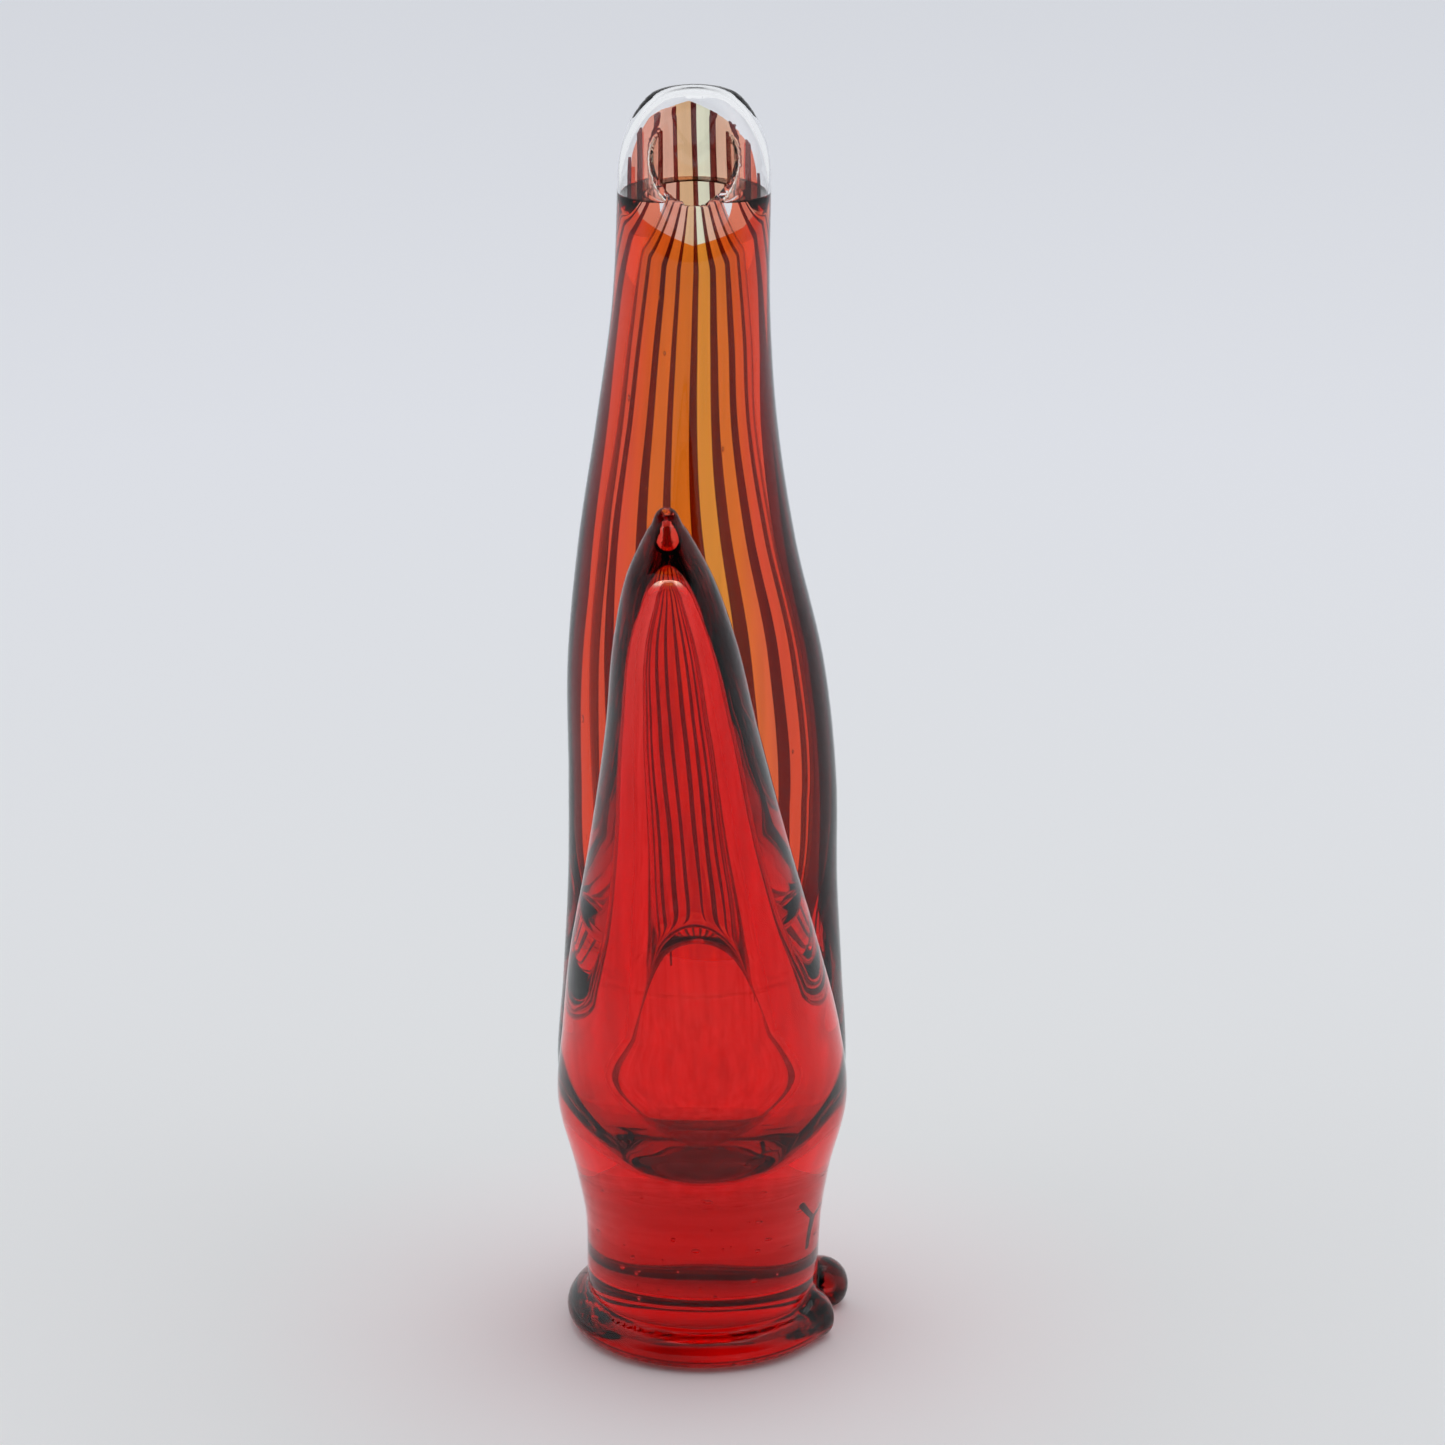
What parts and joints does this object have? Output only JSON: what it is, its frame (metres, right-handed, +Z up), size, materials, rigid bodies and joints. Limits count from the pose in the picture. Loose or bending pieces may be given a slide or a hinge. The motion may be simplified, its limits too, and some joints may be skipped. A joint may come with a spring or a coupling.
{
  "type": "vase",
  "caption": "Blown glass vase with a tall striped neck open at a slanted mouth, a short closed horn in front of it, a solid base and a wound foot coil.",
  "frame": {"origin": "middle of the foot, on the surface that the vase stands on", "axes": "+Z up along the neck; -Y towards the closed horn, +Y towards the open neck; +X to the right seen from the horn's side"},
  "size_m": [0.0705, 0.1023, 0.2975],
  "materials": {
    "ruby_glass": "fire polished",
    "clear_glass": "fire polished",
    "amber_glass": "fire polished",
    "cream_glass": "fire polished",
    "dark_glass": "fire polished"
  },
  "bodies": {
    "root": {"amber_cane_back": "amber_glass", "amber_cane_front": "amber_glass", "amber_cane_right": "amber_glass", "base_gather": "ruby_glass", "body_wall": "ruby_glass", "coral_cane_back": "ruby_glass", "coral_cane_left": "ruby_glass", "coral_cane_right": "ruby_glass", "cream_cane_back": "cream_glass", "dark_cane_1": "dark_glass", "dark_cane_2": "dark_glass", "dark_cane_3": "dark_glass", "dark_cane_4": "dark_glass", "dark_cane_5": "dark_glass", "dark_cane_6": "dark_glass", "dark_cane_7": "dark_glass", "dark_cane_8": "dark_glass", "dark_cane_9": "dark_glass", "foot_coil": "ruby_glass", "horn_tip": "ruby_glass", "horn_wall": "ruby_glass", "neck_casing": "clear_glass", "neck_lining": "clear_glass", "ruby_cane_left": "ruby_glass", "ruby_cane_right": "ruby_glass", "tip_nub": "ruby_glass"}
  },
  "joints": []
}
